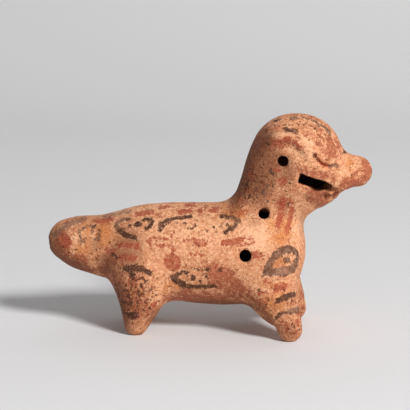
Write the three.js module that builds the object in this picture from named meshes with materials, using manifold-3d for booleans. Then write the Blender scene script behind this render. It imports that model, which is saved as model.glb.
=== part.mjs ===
// Terracotta feline whistle: one hollow figure of fired clay on four short legs.
// Millimetres, +Z up. The head faces +X, the painted show side is -Y and the soles lie on z = 0.
import * as THREE from 'three';
import { mergeVertices } from 'three/addons/utils/BufferGeometryUtils.js';
import Module from 'manifold-3d';

// Sizes of the clay rolls. A knot is x, y, z, radius and sideways stretch of the section.

const TRUNK = [
  [-60.9, 0, 38.1, 9.2, 1.0],
  [-55.5, 0, 37.3, 11.5, 1.0],
  [-47, 0, 36.4, 12.8, 1.0],
  [-37, 0, 35.5, 15.9, 1.0],
  [-25, 0, 34.2, 20, 1.0],
  [-5, 0, 33.2, 22.1, 1.0],
  [12, 0, 33.2, 21.9, 1.02],
  [21, 0, 34.5, 20, 1.02],
];
const NECK = [
  [19, 0, 38, 17, 1.0],
  [25.5, 0, 54, 15.6, 0.92],
  [33, 0, 68, 18.6, 0.88],
  [36.9, 0, 74.6, 20.2, 0.86],
];
const FOREHEAD = [
  [43, 0, 80.5, 10.6, 1.2],
  [46.9, 0, 77.3, 7.8, 1.3],
];
const NOSE = [
  [52, 0, 71.6, 7.2, 1.0],
  [62.9, 0, 70.1, 6.8, 1.0],
];
const LIP = [
  [42, 9, 70, 6.5, 1.0],
  [57, 5, 67.8, 4.8, 1.0],
];
const JAW = [
  [43, 0, 62, 8.4, 1.25],
  [49.4, 0, 60.4, 5, 1.3],
  [54.4, 0, 63.7, 3.8, 1.3],
];
const BROW = [
  [23.5, 0, 80.5, 2.6, 1.0],
  [28.5, 0, 85.8, 2.8, 1.0],
  [35, 0, 86, 2.8, 1.0],
  [41.5, 0, 81.5, 2.6, 1.0],
];
const BROW_PROUD = 1.7;
const HIND_LEG = [
  [-28.4, 10, 24.5, 13.3, 1.0],
  [-29.4, 14, 12.5, 8.4, 1.0],
  [-31, 15.5, 4.3, 5, 1.0],
];
const FORE_LEG = [
  [23.6, 11, 27, 13.7, 1.0],
  [29.8, 17, 15.5, 9.3, 1.0],
  [33.6, 19.6, 10.4, 6.5, 1.0],
  [35.7, 21.4, 4.5, 5.2, 1.0],
];

const ROLL_STEPS = 6;
const BODY_FILLET = 7;
const FACE_FILLET = 4;
const BROW_FILLET = 1.8;

// Hollows: the sounding chamber in the trunk and foot of the neck, and the hollow of the head.

const CHAMBER = [
  [-33.5, 0, 36.2, 10.8, 1.0],
  [-25, 0, 34.8, 14.8, 1.02],
  [-5, 0, 33.6, 17.2, 1.05],
  [12, 0, 33.4, 17.2, 1.07],
  [20.5, 0, 34.5, 15.4, 1.05],
];
const CHAMBER_NECK = [
  [20, 0, 40, 11, 1.0],
  [24.6, 0, 51.5, 8.6, 1.0],
];
const HEAD_HOLLOW = [
  [35.2, 0, 74.4, 14.6, 0.86],
  [42, 0, 73.4, 11.6, 0.95],
];
const HOLLOW_FILLET = 6;

// Bores through the wall on either side: x and z on the skin, outward direction and diameter.

const EYE = { x: 32, z: 76.2, out: [0, 1, 0], across: 4.7 };
const NECK_HOLE = { x: 24.1, z: 53.9, out: [0.1, 0.9, 0.42], across: 4.8 };
const SHOULDER_HOLE = { x: 16.8, z: 36.6, out: [0.08, 0.98, 0.14], across: 5.2 };
const BORE_OUTSIDE = 9;
const BORE_INSIDE = 11;
const BORE_SIDES = 20;

// Mouth: a slot cut right through the muzzle from cheek to cheek, low at the front.

const MOUTH_REAR = [38.8, 69.1];
const MOUTH_FRONT = [52.8, 64.1];
const MOUTH_GAPE = 3.4;
const MOUTH_REACH = 26;

// Wind: a flat channel from the tip of the tail down to a square window under its root.

const SLOT_MOUTH = [-72, 37.4];
const SLOT_END = [-42.2, 25.8];
const SLOT_WIDE = 6.5;
const SLOT_HIGH = 2.2;
const WINDOW_REAR = -43.2;
const WINDOW_FRONT = -37.4;
const WINDOW_WIDE = 7.4;
const WINDOW_LOW = 12;
const WINDOW_HIGH = 34;

// Mesh spacing: fine on the head, wider on the trunk, widest inside.

const GRID_X = [[-78, 8, 4.1], [8, 22, 3.5], [22, 76, 2.5]];
const GRID_Y = [[-40, -20, 4], [-20, 20, 2.9], [20, 40, 4]];
const GRID_Z = [[-10, 50, 4.1], [50, 60, 3.3], [60, 101, 2.3]];
const HOLLOW_STEP = 5.4;

// The block that the soles are cut flat against.

const GROUND_WIDE = 300;
const GROUND_DEEP = 40;

const CLAY_COLOUR = 0xc98a62;

// Knots joined by a smooth curve that passes through each, for place, radius and stretch alike.
function smoothed(knots) {
  const path = [knots[0]];
  for (let i = 0; i + 1 < knots.length; i += 1) {
    const before = knots[Math.max(i - 1, 0)];
    const here = knots[i];
    const next = knots[i + 1];
    const after = knots[Math.min(i + 2, knots.length - 1)];
    for (let step = 1; step <= ROLL_STEPS; step += 1) {
      const t = step / ROLL_STEPS;
      path.push(here.map((p, k) => {
        const m0 = (next[k] - before[k]) / 2;
        const m1 = (after[k] - p) / 2;
        const rest = next[k] - p;
        return p + m0 * t + (3 * rest - 2 * m0 - m1) * t * t + (m0 + m1 - 2 * rest) * t * t * t;
      }));
    }
  }
  return path;
}

// Signed distance from a point to a roll of clay, below zero inside it.
function roll(knots) {
  const path = smoothed(knots);
  return (x, y, z) => {
    let nearest = Infinity;
    for (let i = 1; i < path.length; i += 1) {
      const [ax, ay, az, ar, as] = path[i - 1];
      const [bx, by, bz, br, bs] = path[i];
      const dx = bx - ax;
      const dy = by - ay;
      const dz = bz - az;
      const along = ((x - ax) * dx + (y - ay) * dy + (z - az) * dz) / (dx * dx + dy * dy + dz * dz);
      const t = Math.min(1, Math.max(0, along));
      const stretch = as + (bs - as) * t;
      const off = Math.hypot(x - ax - dx * t, (y - ay - dy * t) / stretch, z - az - dz * t);
      nearest = Math.min(nearest, off - ar - (br - ar) * t);
    }
    return nearest;
  };
}

function mirrored(knots) {
  return knots.map(([x, y, z, radius, stretch]) => [x, -y, z, radius, stretch]);
}

// Shapes pressed together, with a fillet of wiped clay where they meet.
function joined(fillet, shapes) {
  return (x, y, z) => shapes.map((shape) => shape(x, y, z)).reduce((a, b) => {
    const overlap = Math.max(fillet - Math.abs(a - b), 0) / fillet;
    return Math.min(a, b) - overlap * overlap * fillet / 4;
  });
}

// How far out sideways a field first rises to a level, from the mid-plane at x and z.
function reachOut(field, x, z, level) {
  let y = 0;
  while (field(x, y, z) < level) {
    y += 0.1;
  }
  return y;
}

// The same knots moved out sideways until the roll stands so far proud of a skin.
function settled(knots, field, proud) {
  return knots.map(([x, , z, radius, stretch]) => (
    [x, reachOut(field, x, z, proud - radius), z, radius, stretch]
  ));
}

function pair(knots) {
  return [roll(knots), roll(mirrored(knots))];
}

function figure() {
  const head = joined(FACE_FILLET, [
    roll(NECK), roll(FOREHEAD), roll(NOSE), roll(JAW), ...pair(LIP),
  ]);
  const face = joined(BROW_FILLET, [head, ...pair(settled(BROW, head, BROW_PROUD))]);
  return joined(BODY_FILLET, [roll(TRUNK), face, ...pair(HIND_LEG), ...pair(FORE_LEG)]);
}

// Grid lines in bands of their own spacing: each band is from, to and the widest step.
function gridLines(bands) {
  const lines = [bands[0][0]];
  for (const [from, to, step] of bands) {
    const count = Math.ceil((to - from) / step);
    for (let i = 1; i <= count; i += 1) {
      lines.push(from + (to - from) * i / count);
    }
  }
  return lines;
}

function slope(field, p) {
  const h = 0.05;
  const [x, y, z] = p;
  return [
    (field(x + h, y, z) - field(x - h, y, z)) / (2 * h),
    (field(x, y + h, z) - field(x, y - h, z)) / (2 * h),
    (field(x, y, z + h) - field(x, y, z - h)) / (2 * h),
  ];
}

// A point moved straight onto the skin of the field.
function ontoSkin(field, start) {
  let p = start;
  for (let turn = 0; turn < 4; turn += 1) {
    const s = slope(field, p);
    const steep = Math.max(s[0] ** 2 + s[1] ** 2 + s[2] ** 2, 0.05);
    const off = field(...p) / steep;
    p = p.map((v, k) => v - off * s[k]);
  }
  return p;
}

// The skin of a field as a closed mesh, one point for each cell of the grid that it passes through.
function skin(field, bandsX, bandsY, bandsZ) {
  const lines = [gridLines(bandsX), gridLines(bandsY), gridLines(bandsZ)];
  const [nx, ny, nz] = lines.map((line) => line.length);
  const at = (i, j, k) => (i * ny + j) * nz + k;
  const values = new Float64Array(nx * ny * nz);
  for (let i = 0; i < nx; i += 1) {
    for (let j = 0; j < ny; j += 1) {
      for (let k = 0; k < nz; k += 1) {
        values[at(i, j, k)] = field(lines[0][i], lines[1][j], lines[2][k]);
      }
    }
  }
  const corner = (i, j, k) => [lines[0][i], lines[1][j], lines[2][k]];
  const numbers = new Int32Array(values.length).fill(-1);
  const points = [];
  for (let i = 0; i + 1 < nx; i += 1) {
    for (let j = 0; j + 1 < ny; j += 1) {
      for (let k = 0; k + 1 < nz; k += 1) {
        const sum = [0, 0, 0];
        let crossings = 0;
        for (const [a, b] of CELL_EDGES) {
          const from = values[at(i + a[0], j + a[1], k + a[2])];
          const to = values[at(i + b[0], j + b[1], k + b[2])];
          if ((from < 0) !== (to < 0)) {
            const p = corner(i + a[0], j + a[1], k + a[2]);
            const q = corner(i + b[0], j + b[1], k + b[2]);
            const t = from / (from - to);
            for (let axis = 0; axis < 3; axis += 1) {
              sum[axis] += p[axis] + (q[axis] - p[axis]) * t;
            }
            crossings += 1;
          }
        }
        if (crossings > 0) {
          numbers[at(i, j, k)] = points.length;
          points.push(ontoSkin(field, sum.map((s) => s / crossings)));
        }
      }
    }
  }
  const faces = [];
  for (let i = 1; i + 1 < nx; i += 1) {
    for (let j = 1; j + 1 < ny; j += 1) {
      for (let k = 1; k + 1 < nz; k += 1) {
        const inside = values[at(i, j, k)] < 0;
        const rings = [
          [[i + 1, j, k], [at(i, j - 1, k - 1), at(i, j, k - 1), at(i, j, k), at(i, j - 1, k)]],
          [[i, j + 1, k], [at(i - 1, j, k - 1), at(i - 1, j, k), at(i, j, k), at(i, j, k - 1)]],
          [[i, j, k + 1], [at(i - 1, j - 1, k), at(i, j - 1, k), at(i, j, k), at(i - 1, j, k)]],
        ];
        for (const [end, cells] of rings) {
          if (inside !== values[at(...end)] < 0) {
            const ring = cells.map((cell) => numbers[cell]);
            addQuad(faces, points, inside ? ring : ring.reverse());
          }
        }
      }
    }
  }
  return { points, faces };
}

const CELL_EDGES = [0, 1, 2].flatMap((axis) => [0, 1, 2, 3].map((n) => {
  const start = [0, 0, 0];
  start[(axis + 1) % 3] = n % 2;
  start[(axis + 2) % 3] = n >> 1;
  const end = [...start];
  end[axis] = 1;
  return [start, end];
}));

// A four-sided patch, split along its shorter diagonal.
function addQuad(faces, points, [a, b, c, d]) {
  const reach = (p, q) => Math.hypot(...points[p].map((v, k) => v - points[q][k]));
  if (reach(a, c) < reach(b, d)) {
    faces.push([a, b, c], [a, c, d]);
  } else {
    faces.push([b, c, d], [b, d, a]);
  }
}

const wasm = await Module();
wasm.setup();

function solid(points, faces) {
  return new wasm.Manifold(new wasm.Mesh({
    numProp: 3,
    vertProperties: new Float32Array(points.flat()),
    triVerts: new Uint32Array(faces.flat()),
  }));
}

function solidOf(geometry) {
  const plain = geometry.clone();
  plain.deleteAttribute('normal');
  plain.deleteAttribute('uv');
  const merged = mergeVertices(plain, 1e-4);
  return new wasm.Manifold(new wasm.Mesh({
    numProp: 3,
    vertProperties: new Float32Array(merged.attributes.position.array),
    triVerts: new Uint32Array(merged.index.array),
  }));
}

// A round bore from outside the skin into the hollow behind it, on the side that the sign names.
function bore({ x, z, out, across }, field, side) {
  const length = BORE_OUTSIDE + BORE_INSIDE;
  const shape = new THREE.CylinderGeometry(across / 2, across / 2, length, BORE_SIDES);
  const way = new THREE.Vector3(out[0], out[1] * side, out[2]).normalize();
  const middle = new THREE.Vector3(x, reachOut(field, x, z, 0) * side, z);
  middle.addScaledVector(way, (BORE_OUTSIDE - BORE_INSIDE) / 2);
  shape.applyQuaternion(new THREE.Quaternion().setFromUnitVectors(new THREE.Vector3(0, 1, 0), way));
  shape.translate(middle.x, middle.y, middle.z);
  return solidOf(shape);
}

// A flat-sided cut between two points of the mid-plane, square across the figure.
function cut([x0, z0], [x1, z1], high, wide) {
  const length = Math.hypot(x1 - x0, z1 - z0);
  const shape = new THREE.BoxGeometry(length, wide, high);
  shape.rotateY(-Math.atan2(z1 - z0, x1 - x0));
  shape.translate((x0 + x1) / 2, 0, (z0 + z1) / 2);
  return solidOf(shape);
}

function whistle() {
  const form = figure();
  const outside = skin(form, GRID_X, GRID_Y, GRID_Z);
  const chamber = skin(
    joined(HOLLOW_FILLET, [roll(CHAMBER), roll(CHAMBER_NECK)]),
    [[-50, 45, HOLLOW_STEP]], [[-26, 26, HOLLOW_STEP]], [[8, 68, HOLLOW_STEP]],
  );
  const hollow = skin(
    roll(HEAD_HOLLOW),
    [[15, 62, HOLLOW_STEP]], [[-22, 22, HOLLOW_STEP]], [[52, 98, HOLLOW_STEP]],
  );
  let clay = solid(outside.points, outside.faces);
  clay = clay.subtract(solid(chamber.points, chamber.faces));
  clay = clay.subtract(solid(hollow.points, hollow.faces));
  for (const hole of [EYE, NECK_HOLE, SHOULDER_HOLE]) {
    clay = clay.subtract(bore(hole, form, -1)).subtract(bore(hole, form, 1));
  }
  clay = clay.subtract(cut(MOUTH_REAR, MOUTH_FRONT, MOUTH_GAPE, MOUTH_REACH * 2));
  clay = clay.subtract(cut(SLOT_MOUTH, SLOT_END, SLOT_HIGH, SLOT_WIDE));
  const window = new THREE.BoxGeometry(
    WINDOW_FRONT - WINDOW_REAR, WINDOW_WIDE, WINDOW_HIGH - WINDOW_LOW,
  );
  window.translate((WINDOW_REAR + WINDOW_FRONT) / 2, 0, (WINDOW_LOW + WINDOW_HIGH) / 2);
  clay = clay.subtract(solidOf(window));
  const ground = new THREE.BoxGeometry(GROUND_WIDE, GROUND_WIDE, GROUND_DEEP);
  ground.translate(0, 0, -GROUND_DEEP / 2);
  return clay.subtract(solidOf(ground));
}

const mesh = whistle().getMesh();
const geometry = new THREE.BufferGeometry();
geometry.setAttribute('position', new THREE.BufferAttribute(new Float32Array(mesh.vertProperties), 3));
geometry.setIndex(new THREE.BufferAttribute(new Uint32Array(mesh.triVerts), 1));
geometry.computeVertexNormals();

const clayFigure = new THREE.Mesh(
  geometry,
  new THREE.MeshStandardMaterial({ color: CLAY_COLOUR, roughness: 0.85, metalness: 0 }),
);
clayFigure.name = 'whistle';

const group = new THREE.Group();
group.add(clayFigure);

export default group;
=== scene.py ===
"""The looks of a terracotta feline whistle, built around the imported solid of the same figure.

Lengths in the tables are in millimetres, in the solid's own frame: X towards the nose, Y towards the animal's
left side, Z up, soles on Z = 0. Blender works in metres, so a length is turned once, where a mesh is made.
"""

import itertools
import math

import bpy
import numpy as np
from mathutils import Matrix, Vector


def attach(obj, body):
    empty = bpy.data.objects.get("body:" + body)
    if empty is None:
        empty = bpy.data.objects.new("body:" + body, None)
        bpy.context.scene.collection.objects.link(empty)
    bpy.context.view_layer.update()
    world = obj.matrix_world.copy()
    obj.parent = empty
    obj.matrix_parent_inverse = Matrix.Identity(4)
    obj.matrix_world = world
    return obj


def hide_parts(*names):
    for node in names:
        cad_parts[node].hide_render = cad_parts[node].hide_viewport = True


bl_info = {
    "name": "Terracotta feline whistle",
    "version": (1, 0, 0),
    "blender": (4, 5, 0),
    "location": "3D View > Sidebar > Whistle",
    "description": "Builds the hollow clay figure with its worn painted finish, and a plain studio around it",
    "category": "Object",
}

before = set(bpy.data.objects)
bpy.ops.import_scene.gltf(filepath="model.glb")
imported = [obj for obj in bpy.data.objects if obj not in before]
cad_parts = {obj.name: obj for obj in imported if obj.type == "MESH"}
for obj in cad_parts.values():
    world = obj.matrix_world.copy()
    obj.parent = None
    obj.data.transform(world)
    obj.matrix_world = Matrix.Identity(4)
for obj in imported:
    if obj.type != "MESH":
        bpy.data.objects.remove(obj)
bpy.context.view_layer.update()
MM = 0.001

# The viewer's place, from which the show side is seen and its marks are placed.

AIM = (-2.4, 0.0, 54.3)
VIEW_TURN = 5.0
VIEW_RISE = 10.0
VIEW_DISTANCE = 900.0
LENS = 182.4
SENSOR = 36.0

# Rolls of clay. A knot is x, y, z, radius and sideways stretch of the section.

TRUNK = [
    (-61.3, 0, 37.7, 9.6, 1.0),
    (-55.5, 0, 36.8, 12.0, 1.0),
    (-47, 0, 35.8, 13.5, 1.0),
    (-37, 0, 35.5, 15.9, 1.0),
    (-25, 0, 34.2, 20, 1.0),
    (-5, 0, 33.2, 22.1, 1.0),
    (12, 0, 33.2, 21.9, 1.02),
    (21, 0, 34.5, 20, 1.02),
]
NECK = [
    (19, 0, 38, 17, 1.0),
    (25.5, 0, 54, 15.6, 0.92),
    (33, 0, 68, 18.6, 0.88),
    (36.9, 0, 74.6, 20.2, 0.86),
]
FOREHEAD = [(43, 0, 80.5, 10.6, 1.2), (46.9, 0, 77.3, 7.8, 1.3)]
NOSE = [(52, 0, 71.6, 7.2, 1.0), (62.9, 0, 70.1, 6.8, 1.0)]
LIP = [(42, 9, 70, 6.5, 1.0), (57, 5, 67.8, 4.8, 1.0)]
JAW = [(43, 0, 62, 8.4, 1.25), (49.4, 0, 60.4, 5, 1.3), (54.4, 0, 63.7, 3.8, 1.3)]
HIND_LEG = [(-28.4, 10, 24.5, 13.3, 1.0), (-29.4, 14, 12.5, 8.4, 1.0), (-31, 15.5, 4.3, 5, 1.0)]
FORE_LEG = [
    (23.6, 11, 27, 13.7, 1.0),
    (29.8, 17, 15.5, 9.3, 1.0),
    (33.6, 19.6, 10.4, 6.5, 1.0),
    (35.7, 21.4, 4.5, 5.2, 1.0),
]
ROLL_STEPS = 6
BODY_FILLET = 7.0
FACE_FILLET = 4.0
BROW_FILLET = 1.3

# Fine rolls laid on the sides of the head, where a knot is x, z and radius: the brow, the crease under it and
# its lower lip, the line that carries the mouth on to the nose, and the rim and groove of the jaw. PROUD says
# how far a roll stands out and what part of that is left at its ends.

BROW = [(23.8, 81.2, 2.2), (28.6, 85.6, 2.5), (36, 85.6, 2.5), (41.6, 81.6, 2.3), (43.6, 79.2, 1.8)]
CREASE = [(43.6, 81.2, 1.1), (46, 76.9, 1.3), (49.2, 74, 1.4), (53.4, 73, 1.2), (56.6, 75.4, 1.1)]
CREASE_LIP = [(41.5, 80.6, 2), (44.2, 77, 1.9), (47.4, 73.4, 1.7), (52, 71, 1.4)]
MOUTH_LINE = [(51.5, 64.2, 1.4), (55.5, 63.5, 1.2), (60, 63.4, 0.9)]
JAW_RIM = [(39.4, 63.4, 1.2), (43.4, 61.7, 1.3), (46.8, 58.8, 1.1)]
JAW_GROOVE = [(56.4, 62.8, 0.8), (53.2, 60.8, 1.0), (50.4, 59.2, 0.9)]
BROW_ENDS = 0.2
LIP_PROUD = (0.8, 0.4)
RIM_PROUD = (0.8, 0.4)
CREASE_PROUD = 0.4
LINE_PROUD = 0.3
GROOVE_PROUD = 0.2
GROOVE_RIM = 0.8

# The broken place is a shallow pit on the show side, in a patch of rough clay.

BROKEN_JAW = (49, 0, 60.9)
BROKEN_JAW_DEPTH = 1.2
BROKEN_JAW_SPREAD = 3.4
ROUGH_JAW = (50, 0, 61.5)
ROUGH_JAW_HEIGHT = 1.1
ROUGH_JAW_SPREAD = 5.5
ROUGH_JAW_CLOD = 2.2
ROUGH_JAW_SEED = 8
SOCKET_DEPTH = 1.8
SOCKET_SPREAD = 5.2

# The potter's hand: how far apart its rises are, their share of the unevenness, and the seed of each.

HAND_MARKS = ((15, 1.0, 3), (6.5, 0.45, 4), (2.6, 0.22, 5))

# Hollows behind a wall of 4.5 to 5 mm.

CHAMBER = [
    (-33.5, 0, 36.2, 10.8, 1.0),
    (-25, 0, 34.8, 14.8, 1.02),
    (-5, 0, 33.6, 17.2, 1.05),
    (12, 0, 33.4, 17.2, 1.07),
    (20.5, 0, 34.5, 15.4, 1.05),
]
CHAMBER_NECK = [(20, 0, 40, 11, 1.0), (24.6, 0, 51.5, 8.6, 1.0)]
HEAD_HOLLOW = [(35.2, 0, 74.4, 14.6, 0.86), (42, 0, 73.4, 11.6, 0.95)]
HOLLOW_FILLET = 6.0

# Bores on either side: x and z on the skin, outward direction and diameter.

BORES = {
    "eye": (32, 76.2, (0, 1, 0), 4.7),
    "neck hole": (24.1, 53.9, (0.1, 0.9, 0.42), 4.8),
    "shoulder hole": (16.8, 36.6, (0.08, 0.98, 0.14), 5.2),
}
BORE_DEPTH = 11.0

# The mouth slot. It sags on the show side, has ragged edges, and narrows to the front and on the far side. A
# wall on the mid-plane keeps light from showing through.

MOUTH_REAR = (38.8, 69.1)
MOUTH_FRONT = (52.8, 64.1)
MOUTH_WIDTH = 52
MOUTH_GAPE = 4.3
MOUTH_SAG = (46.6, 0, 63.2)
MOUTH_SAG_DEPTH = 1.2
MOUTH_SAG_SPREAD = 3.4
MOUTH_RAGGED = 0.45
MOUTH_CLOD = 2.0
MOUTH_SEED = 11
MOUTH_TAPER = 0.6
MOUTH_TAPER_LENGTH = 6
MOUTH_FAR_LESS = 1.1
MOUTH_WALL_START = 46
MOUTH_WALL_HALF = 2.5

# The wind channel through the tail and the sound window under its root.

CHANNEL_START = (-72, 37.4)
CHANNEL_END = (-42.2, 25.8)
CHANNEL_SECTION = (6.5, 2.2)
WINDOW_LOW = (-43.2, -3.7, 12)
WINDOW_HIGH = (-37.4, 3.7, 34)
SOLE_RIM = 0.6

# The space that is searched for the skin, and the factor that drops Y from a point.

SPACE_LOW = (-75.0, -31.0, -4.0)
SPACE_HIGH = (75.0, 31.0, 99.0)
SIDE_ON = np.array([[1], [0], [1]], np.float32)

# Painted marks, in millimetres right and up of AIM as the viewer sees them.
# Black and grey slip paint: name, half width and the points along the stroke, one point for a spot.
BLACK_STROKES = [
    ("rump bracket top", 0.74, [(-32.7, -5.9), (-36.4, -6.6), (-38.3, -8.5)]),
    ("rump bracket", 1.17, [(-38.3, -8.7), (-37, -11.3), (-34.2, -13.2), (-30.5, -14.3)]),
    ("rump spot", 0.78, [(-32.7, -8.8)]),
    ("rump eye", 1.21, [(-29.6, -8.5), (-28.7, -8.2)]),
    ("rump arc", 0.95, [(-26.2, -6.2), (-23.6, -6.4), (-22.8, -7.6), (-23.7, -9.1), (-25.5, -10.2)]),
    ("back hook", 0.87, [(-19.6, -11), (-19.2, -8.3), (-17.4, -7.1), (-13.2, -5.9), (-6.2, -4.9)]),
    ("back hook inner", 0.35, [(-18, -10.7), (-17.5, -8.9), (-15.9, -8)]),
    ("shoulder bracket", 0.95, [(7.1, -5), (11.7, -5.4), (14.6, -6.8), (12.8, -9.3), (8.8, -11.8)]),
    ("thigh bar", 1.43, [(-34.4, -27.5), (-31.2, -27.2), (-27.7, -27.7)]),
    ("thigh bar end", 1.21, [(-27.7, -27.7), (-24, -29.4)]),
    ("thigh drop", 1.56, [(-31.4, -30.3)]),
    ("belly bracket lid", 0.74, [(-10.8, -29.8), (-9.5, -28.7), (-7.6, -29.5)]),
    ("belly bracket", 1.39, [(-13.8, -31.5), (-11.7, -33.3), (-8.9, -34.7)]),
    ("belly bracket top", 0.91, [(-13.6, -31.4), (-12, -30.2)]),
    ("belly bracket foot", 0.87, [(-8.9, -34.8), (-6.3, -35.4)]),
    ("belly bracket tail", 0.87, [(-6.3, -35.3), (-0.9, -35.2), (4.2, -35.1)]),
    ("belly eye", 1.26, [(-5.2, -31.5)]),
    ("flank pit", 0.74, [(6.5, -28.4)]),
    ("fore leg bar 1", 1.3, [(31.4, -41.6), (33.8, -40.3), (36.4, -39.2), (38.5, -38.7)]),
    ("fore leg bar 2", 0.65, [(30.6, -49), (32.9, -47.2), (36, -46.1)]),
    ("fore leg bar 3", 1.47, [(36.8, -46.2), (39.6, -45.5)]),
    ("hind leg smear", 0.65, [(-35.3, -41.8), (-32.2, -43)]),
    ("hind leg oval", 1.52, [(-32.3, -47.8), (-30, -48)]),
    ("hind leg oval back", 0.69, [(-34.9, -47.1), (-33.4, -46.8)]),
    ("tail bar 1", 0.61, [(-54.3, -10.7), (-54, -13.4), (-53.6, -16), (-52.3, -16.1)]),
    ("tail bar 2", 0.56, [(-48.8, -9.8), (-48.4, -12.1)]),
    ("tail bar 2 foot", 0.69, [(-47.8, -14.8), (-46.1, -14.7), (-45.8, -11.3)]),
    ("tail bar 3", 0.65, [(-53, -10.6), (-52, -9.5)]),
    ("tail bar 4", 0.61, [(-50, -9.5), (-47.7, -8.8)]),
    ("crown mark", 1.04, [(35.1, 32.9), (39.1, 31.9)]),
    ("tail top smear", 1.3, [(-64.6, -12.8), (-62.4, -10.4), (-56.8, -7.4), (-52.4, -6.2)]),
    ("ridge smear", 0.69, [(-43.8, -5), (-37.7, -3.8), (-32.5, -2.6)]),
    ("crown edge", 0.56, [(37.1, 37.5), (39.9, 38)]),
    ("crease mark 1", 0.56, [(46.9, 22.3), (48.7, 19.5)]),
    ("crease mark 2", 1, [(54.1, 16.8), (56.8, 17.2)]),
    ("bridge mark", 0.95, [(60.5, 23.1)]),
    # The brow shadow spot is painted shadow, in black, where the brow's rear end meets the head.
    ("brow shadow", 0.87, [(27.6, 26.6)]),
]

# Crumbs of black paint, on the show side alone: half width and points, by place.
BLACK_CRUMBS = {
    "rump": [(0.48, [(-34.8, -10.1)]), (0.43, [(-31.7, -11.3)]), (0.65, [(-40.3, -21.2), (-38.1, -22.5)])],
    "back": [
        (0.61, [(-12.4, -7.9)]), (0.69, [(-8.8, -7.9)]), (0.69, [(-7.7, -10.2)]), (0.56, [(-5.6, -10)]),
        (0.56, [(-4.1, -8.9)]), (0.52, [(0.9, -11.2)]), (0.74, [(3.7, -9.4)]), (0.61, [(5, -11.7)]),
        (0.65, [(6.8, -9.1)]), (0.91, [(9.4, -8.5)]),
    ],
    "belly": [(0.78, [(0.7, -30.6)]), (0.52, [(-2.2, -32.9)])],
    "neck": [
        (1.04, [(25.4, 5.5)]), (0.82, [(27.1, 8.2)]), (0.95, [(19.7, 3.7)]), (0.74, [(28.8, 14.6)]),
        (0.78, [(22.1, 6.9)]), (0.61, [(36.7, 9.7)]), (0.69, [(36.2, 0.6)]), (0.65, [(18.5, 8)]),
        (0.69, [(29.5, 13.4)]), (0.65, [(18.9, 3.8)]), (0.61, [(22.3, 10.2)]),
    ],
    "crown": [
        (0.52, [(46.6, 36.7), (49.6, 34.8)]), (0.56, [(51.8, 33.6), (54.2, 31.2)]), (0.61, [(26.6, 32.4)]),
        (0.43, [(30.3, 36.4), (32.9, 37)]), (0.48, [(42, 38.1), (44.6, 37.4)]), (0.56, [(48.8, 26.6)]),
        (0.52, [(54.3, 28.8)]),
    ],
    "flank": [(0.39, [(-5, -27.6), (-2.6, -27.9)]), (0.43, [(-0.9, -28.3), (2.6, -27.7)])],
    "thigh": [
        (0.74, [(-27.7, -35.1)]), (0.61, [(-24.4, -32.3)]), (0.56, [(-32.1, -33.8)]),
        (0.65, [(-34.1, -37)]), (0.52, [(-29.2, -38.8)]), (0.61, [(-23.4, -36.8)]),
    ],
    "breast": [(0.52, [(23.4, -36.8)]), (0.52, [(27.6, -41.3)])],
}

# The ringed eye on the shoulder: its outer edge, its opening and the pupil (centre and radius).
ROSETTE_EDGE = [
    (24.7, -30.9), (25.7, -26.7), (27.6, -23.2), (30.3, -19.5), (34.5, -17.4), (38.6, -17.8),
    (40.6, -20.5), (40.6, -24.7), (39, -28.9), (35.1, -31),
]
ROSETTE_OPENING = [
    (29.1, -27.6), (29.4, -25.7), (31.5, -23.1), (34.8, -21.3), (37.7, -20.8), (39.2, -22.3),
    (38.3, -24.9), (36, -26.4), (32.9, -26.9),
]
ROSETTE_PUPIL = ((35.5, -23.8), 1.56)

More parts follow.
